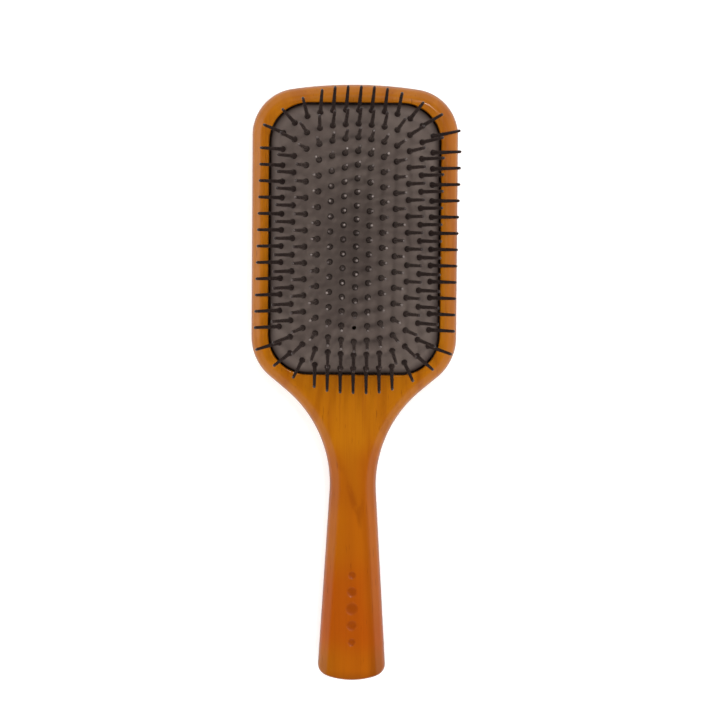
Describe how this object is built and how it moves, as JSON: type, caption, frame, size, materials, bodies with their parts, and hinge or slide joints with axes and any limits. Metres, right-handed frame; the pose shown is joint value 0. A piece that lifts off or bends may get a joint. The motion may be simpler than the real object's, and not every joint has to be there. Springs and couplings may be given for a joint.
{
  "type": "paddle hair brush",
  "caption": "Wooden paddle hair brush: a rounded rectangular head with bevelled edges, a domed rubber air cushion with rows of nylon pins, and a flared handle.",
  "frame": {"origin": "centre of the bounding box seen from above, at the level of the flat back that the brush lies on", "axes": "+X across the brush, +Y from the handle's end towards the head's top, +Z out of the head's front, along the pins"},
  "size_m": [0.088, 0.254, 0.0399],
  "materials": {
    "lacquered_wood": "orange-brown wood with a fine straight grain under satin lacquer",
    "cushion_rubber": "matt brownish grey moulded rubber",
    "pin_nylon": "dark brown moulded nylon with rounded tips"
  },
  "bodies": {
    "brush_body": {"wooden_body": "lacquered_wood"},
    "cushion": {"air_cushion": "cushion_rubber"},
    "pins_left_6_handle_end": {"pins_left_6_handle_end": "pin_nylon"},
    "pins_left_6_middle": {"pins_left_6_middle": "pin_nylon"},
    "pins_left_6_top_end": {"pins_left_6_top_end": "pin_nylon"},
    "pins_left_5_handle_end": {"pins_left_5_handle_end": "pin_nylon"},
    "pins_left_5_middle": {"pins_left_5_middle": "pin_nylon"},
    "pins_left_5_top_end": {"pins_left_5_top_end": "pin_nylon"},
    "pins_left_4_handle_end": {"pins_left_4_handle_end": "pin_nylon"},
    "pins_left_4_middle": {"pins_left_4_middle": "pin_nylon"},
    "pins_left_4_top_end": {"pins_left_4_top_end": "pin_nylon"},
    "pins_left_3_handle_end": {"pins_left_3_handle_end": "pin_nylon"},
    "pins_left_3_middle": {"pins_left_3_middle": "pin_nylon"},
    "pins_left_3_top_end": {"pins_left_3_top_end": "pin_nylon"},
    "pins_left_2_handle_end": {"pins_left_2_handle_end": "pin_nylon"},
    "pins_left_2_middle": {"pins_left_2_middle": "pin_nylon"},
    "pins_left_2_top_end": {"pins_left_2_top_end": "pin_nylon"},
    "pins_left_1_handle_end": {"pins_left_1_handle_end": "pin_nylon"},
    "pins_left_1_middle": {"pins_left_1_middle": "pin_nylon"},
    "pins_left_1_top_end": {"pins_left_1_top_end": "pin_nylon"},
    "pins_centre_handle_end": {"pins_centre_handle_end": "pin_nylon"},
    "pins_centre_middle": {"pins_centre_middle": "pin_nylon"},
    "pins_centre_top_end": {"pins_centre_top_end": "pin_nylon"},
    "pins_right_1_handle_end": {"pins_right_1_handle_end": "pin_nylon"},
    "pins_right_1_middle": {"pins_right_1_middle": "pin_nylon"},
    "pins_right_1_top_end": {"pins_right_1_top_end": "pin_nylon"},
    "pins_right_2_handle_end": {"pins_right_2_handle_end": "pin_nylon"},
    "pins_right_2_middle": {"pins_right_2_middle": "pin_nylon"},
    "pins_right_2_top_end": {"pins_right_2_top_end": "pin_nylon"},
    "pins_right_3_handle_end": {"pins_right_3_handle_end": "pin_nylon"},
    "pins_right_3_middle": {"pins_right_3_middle": "pin_nylon"},
    "pins_right_3_top_end": {"pins_right_3_top_end": "pin_nylon"},
    "pins_right_4_handle_end": {"pins_right_4_handle_end": "pin_nylon"},
    "pins_right_4_middle": {"pins_right_4_middle": "pin_nylon"},
    "pins_right_4_top_end": {"pins_right_4_top_end": "pin_nylon"},
    "pins_right_5_handle_end": {"pins_right_5_handle_end": "pin_nylon"},
    "pins_right_5_middle": {"pins_right_5_middle": "pin_nylon"},
    "pins_right_5_top_end": {"pins_right_5_top_end": "pin_nylon"},
    "pins_right_6_handle_end": {"pins_right_6_handle_end": "pin_nylon"},
    "pins_right_6_middle": {"pins_right_6_middle": "pin_nylon"},
    "pins_right_6_top_end": {"pins_right_6_top_end": "pin_nylon"}
  },
  "joints": [
    {"name": "cushion_press", "type": "slide", "parent": "brush_body", "child": "cushion", "axis": [0, 0, -1], "range_m": [0, 0.0025], "stiffness_N_per_m": 4000, "deforming": ["air_cushion"]},
    {"name": "rock_left_6_handle_end", "type": "hinge", "parent": "cushion", "child": "pins_left_6_handle_end", "pos_m": [-0.03141, 0.02767, 0.01454], "axis": [0.0152, 0.9995, 0.0284], "range_deg": [-10, 10], "stiffness_Nm_per_rad": 0.05},
    {"name": "rock_left_6_middle", "type": "hinge", "parent": "cushion", "child": "pins_left_6_middle", "pos_m": [-0.0309, 0.06173, 0.01494], "axis": [0.0152, 0.9999, 0], "range_deg": [-10, 10], "stiffness_Nm_per_rad": 0.05},
    {"name": "rock_left_6_top_end", "type": "hinge", "parent": "cushion", "child": "pins_left_6_top_end", "pos_m": [-0.03038, 0.09579, 0.01505], "axis": [0.0152, 0.9997, -0.0193], "range_deg": [-10, 10], "stiffness_Nm_per_rad": 0.05},
    {"name": "rock_left_5_handle_end", "type": "hinge", "parent": "cushion", "child": "pins_left_5_handle_end", "pos_m": [-0.02678, 0.02352, 0.0163], "axis": [0.0151, 0.9959, 0.089], "range_deg": [-10, 10], "stiffness_Nm_per_rad": 0.05},
    {"name": "rock_left_5_middle", "type": "hinge", "parent": "cushion", "child": "pins_left_5_middle", "pos_m": [-0.0262, 0.06166, 0.01705], "axis": [0.0152, 0.9999, 0], "range_deg": [-10, 10], "stiffness_Nm_per_rad": 0.05},
    {"name": "rock_left_5_top_end", "type": "hinge", "parent": "cushion", "child": "pins_left_5_top_end", "pos_m": [-0.02562, 0.09979, 0.01665], "axis": [0.0151, 0.996, -0.0877], "range_deg": [-10, 10], "stiffness_Nm_per_rad": 0.05},
    {"name": "rock_left_4_handle_end", "type": "hinge", "parent": "cushion", "child": "pins_left_4_handle_end", "pos_m": [-0.02162, 0.02046, 0.01732], "axis": [0.015, 0.9873, 0.1582], "range_deg": [-10, 10], "stiffness_Nm_per_rad": 0.05},
    {"name": "rock_left_4_middle", "type": "hinge", "parent": "cushion", "child": "pins_left_4_middle", "pos_m": [-0.021, 0.06158, 0.0186], "axis": [0.0152, 0.9999, 0], "range_deg": [-10, 10], "stiffness_Nm_per_rad": 0.05},
    {"name": "rock_left_4_top_end", "type": "hinge", "parent": "cushion", "child": "pins_left_4_top_end", "pos_m": [-0.02037, 0.10269, 0.01752], "axis": [0.015, 0.987, -0.1601], "range_deg": [-10, 10], "stiffness_Nm_per_rad": 0.05},
    {"name": "rock_left_3_handle_end", "type": "hinge", "parent": "cushion", "child": "pins_left_3_handle_end", "pos_m": [-0.01635, 0.01833, 0.0176], "axis": [0.0148, 0.974, 0.2261], "range_deg": [-10, 10], "stiffness_Nm_per_rad": 0.05},
    {"name": "rock_left_3_middle", "type": "hinge", "parent": "cushion", "child": "pins_left_3_middle", "pos_m": [-0.0157, 0.0615, 0.01951], "axis": [0.0152, 0.9999, 0], "range_deg": [-10, 10], "stiffness_Nm_per_rad": 0.05},
    {"name": "rock_left_3_top_end", "type": "hinge", "parent": "cushion", "child": "pins_left_3_top_end", "pos_m": [-0.01504, 0.10466, 0.01768], "axis": [0.0148, 0.973, -0.2303], "range_deg": [-10, 10], "stiffness_Nm_per_rad": 0.05},
    {"name": "rock_left_2_handle_end", "type": "hinge", "parent": "cushion", "child": "pins_left_2_handle_end", "pos_m": [-0.01097, 0.01693, 0.01744], "axis": [0.0146, 0.9606, 0.2774], "range_deg": [-10, 10], "stiffness_Nm_per_rad": 0.05},
    {"name": "rock_left_2_middle", "type": "hinge", "parent": "cushion", "child": "pins_left_2_middle", "pos_m": [-0.0103, 0.06142, 0.01994], "axis": [0.0152, 0.9999, 0], "range_deg": [-10, 10], "stiffness_Nm_per_rad": 0.05},
    {"name": "rock_left_2_top_end", "type": "hinge", "parent": "cushion", "child": "pins_left_2_top_end", "pos_m": [-0.00962, 0.1059, 0.0175], "axis": [0.0146, 0.9617, -0.2739], "range_deg": [-10, 10], "stiffness_Nm_per_rad": 0.05},
    {"name": "rock_left_1_handle_end", "type": "hinge", "parent": "cushion", "child": "pins_left_1_handle_end", "pos_m": [-0.00554, 0.01604, 0.01724], "axis": [0.0145, 0.9535, 0.3011], "range_deg": [-10, 10], "stiffness_Nm_per_rad": 0.05},
    {"name": "rock_left_1_middle", "type": "hinge", "parent": "cushion", "child": "pins_left_1_middle", "pos_m": [-0.00485, 0.06133, 0.02005], "axis": [0.0152, 0.9999, 0], "range_deg": [-10, 10], "stiffness_Nm_per_rad": 0.05},
    {"name": "rock_left_1_top_end", "type": "hinge", "parent": "cushion", "child": "pins_left_1_top_end", "pos_m": [-0.00416, 0.10662, 0.01735], "axis": [0.0145, 0.9565, -0.2915], "range_deg": [-10, 10], "stiffness_Nm_per_rad": 0.05},
    {"name": "rock_centre_handle_end", "type": "hinge", "parent": "cushion", "child": "pins_centre_handle_end", "pos_m": [-0.00014, 0.01258, 0.01633], "axis": [0.014, 0.9203, 0.3909], "range_deg": [-10, 10], "stiffness_Nm_per_rad": 0.05},
    {"name": "rock_centre_middle", "type": "hinge", "parent": "cushion", "child": "pins_centre_middle", "pos_m": [0.0006, 0.06125, 0.02005], "axis": [0.0152, 0.9999, 0], "range_deg": [-10, 10], "stiffness_Nm_per_rad": 0.05},
    {"name": "rock_centre_top_end", "type": "hinge", "parent": "cushion", "child": "pins_centre_top_end", "pos_m": [0.0013, 0.10706, 0.01728], "axis": [0.0145, 0.9536, -0.3008], "range_deg": [-10, 10], "stiffness_Nm_per_rad": 0.05},
    {"name": "rock_right_1_handle_end", "type": "hinge", "parent": "cushion", "child": "pins_right_1_handle_end", "pos_m": [0.00536, 0.01588, 0.01718], "axis": [0.0145, 0.952, 0.3058], "range_deg": [-10, 10], "stiffness_Nm_per_rad": 0.05},
    {"name": "rock_right_1_middle", "type": "hinge", "parent": "cushion", "child": "pins_right_1_middle", "pos_m": [0.00605, 0.06117, 0.02004], "axis": [0.0152, 0.9999, 0], "range_deg": [-10, 10], "stiffness_Nm_per_rad": 0.05},
    {"name": "rock_right_1_top_end", "type": "hinge", "parent": "cushion", "child": "pins_right_1_top_end", "pos_m": [0.00674, 0.10646, 0.01741], "axis": [0.0145, 0.9579, -0.2868], "range_deg": [-10, 10], "stiffness_Nm_per_rad": 0.05},
    {"name": "rock_right_2_handle_end", "type": "hinge", "parent": "cushion", "child": "pins_right_2_handle_end", "pos_m": [0.01082, 0.0166, 0.01733], "axis": [0.0145, 0.958, 0.2865], "range_deg": [-10, 10], "stiffness_Nm_per_rad": 0.05},
    {"name": "rock_right_2_middle", "type": "hinge", "parent": "cushion", "child": "pins_right_2_middle", "pos_m": [0.0115, 0.06108, 0.01987], "axis": [0.0152, 0.9999, 0], "range_deg": [-10, 10], "stiffness_Nm_per_rad": 0.05},
    {"name": "rock_right_2_top_end", "type": "hinge", "parent": "cushion", "child": "pins_right_2_top_end", "pos_m": [0.01217, 0.10557, 0.01758], "axis": [0.0147, 0.9651, -0.2614], "range_deg": [-10, 10], "stiffness_Nm_per_rad": 0.05},
    {"name": "rock_right_3_handle_end", "type": "hinge", "parent": "cushion", "child": "pins_right_3_handle_end", "pos_m": [0.01624, 0.01784, 0.01747], "axis": [0.0147, 0.9711, 0.2383], "range_deg": [-10, 10], "stiffness_Nm_per_rad": 0.05},
    {"name": "rock_right_3_middle", "type": "hinge", "parent": "cushion", "child": "pins_right_3_middle", "pos_m": [0.0169, 0.061, 0.01935], "axis": [0.0152, 0.9999, 0], "range_deg": [-10, 10], "stiffness_Nm_per_rad": 0.05},
    {"name": "rock_right_3_top_end", "type": "hinge", "parent": "cushion", "child": "pins_right_3_top_end", "pos_m": [0.01755, 0.10417, 0.01764], "axis": [0.0149, 0.9781, -0.2077], "range_deg": [-10, 10], "stiffness_Nm_per_rad": 0.05},
    {"name": "rock_right_4_handle_end", "type": "hinge", "parent": "cushion", "child": "pins_right_4_handle_end", "pos_m": [0.02157, 0.01981, 0.0172], "axis": [0.015, 0.9859, 0.1664], "range_deg": [-10, 10], "stiffness_Nm_per_rad": 0.05},
    {"name": "rock_right_4_middle", "type": "hinge", "parent": "cushion", "child": "pins_right_4_middle", "pos_m": [0.0222, 0.06092, 0.01831], "axis": [0.0152, 0.9999, 0], "range_deg": [-10, 10], "stiffness_Nm_per_rad": 0.05},
    {"name": "rock_right_4_top_end", "type": "hinge", "parent": "cushion", "child": "pins_right_4_top_end", "pos_m": [0.02282, 0.10204, 0.01714], "axis": [0.015, 0.9893, -0.1449], "range_deg": [-10, 10], "stiffness_Nm_per_rad": 0.05},
    {"name": "rock_right_5_handle_end", "type": "hinge", "parent": "cushion", "child": "pins_right_5_handle_end", "pos_m": [0.02682, 0.02271, 0.01618], "axis": [0.0151, 0.9957, 0.0912], "range_deg": [-10, 10], "stiffness_Nm_per_rad": 0.05},
    {"name": "rock_right_5_middle", "type": "hinge", "parent": "cushion", "child": "pins_right_5_middle", "pos_m": [0.0274, 0.06084, 0.01658], "axis": [0.0152, 0.9999, 0], "range_deg": [-10, 10], "stiffness_Nm_per_rad": 0.05},
    {"name": "rock_right_5_top_end", "type": "hinge", "parent": "cushion", "child": "pins_right_5_top_end", "pos_m": [0.02798, 0.09898, 0.01589], "axis": [0.0151, 0.9969, -0.0778], "range_deg": [-10, 10], "stiffness_Nm_per_rad": 0.05},
    {"name": "rock_right_6_handle_end", "type": "hinge", "parent": "cushion", "child": "pins_right_6_handle_end", "pos_m": [0.03158, 0.02671, 0.0144], "axis": [0.0152, 0.9997, 0.0197], "range_deg": [-10, 10], "stiffness_Nm_per_rad": 0.05},
    {"name": "rock_right_6_middle", "type": "hinge", "parent": "cushion", "child": "pins_right_6_middle", "pos_m": [0.0321, 0.06077, 0.01427], "axis": [0.0152, 0.9999, 0], "range_deg": [-10, 10], "stiffness_Nm_per_rad": 0.05},
    {"name": "rock_right_6_top_end", "type": "hinge", "parent": "cushion", "child": "pins_right_6_top_end", "pos_m": [0.03261, 0.09483, 0.01388], "axis": [0.0152, 0.9996, -0.0227], "range_deg": [-10, 10], "stiffness_Nm_per_rad": 0.05}
  ]
}
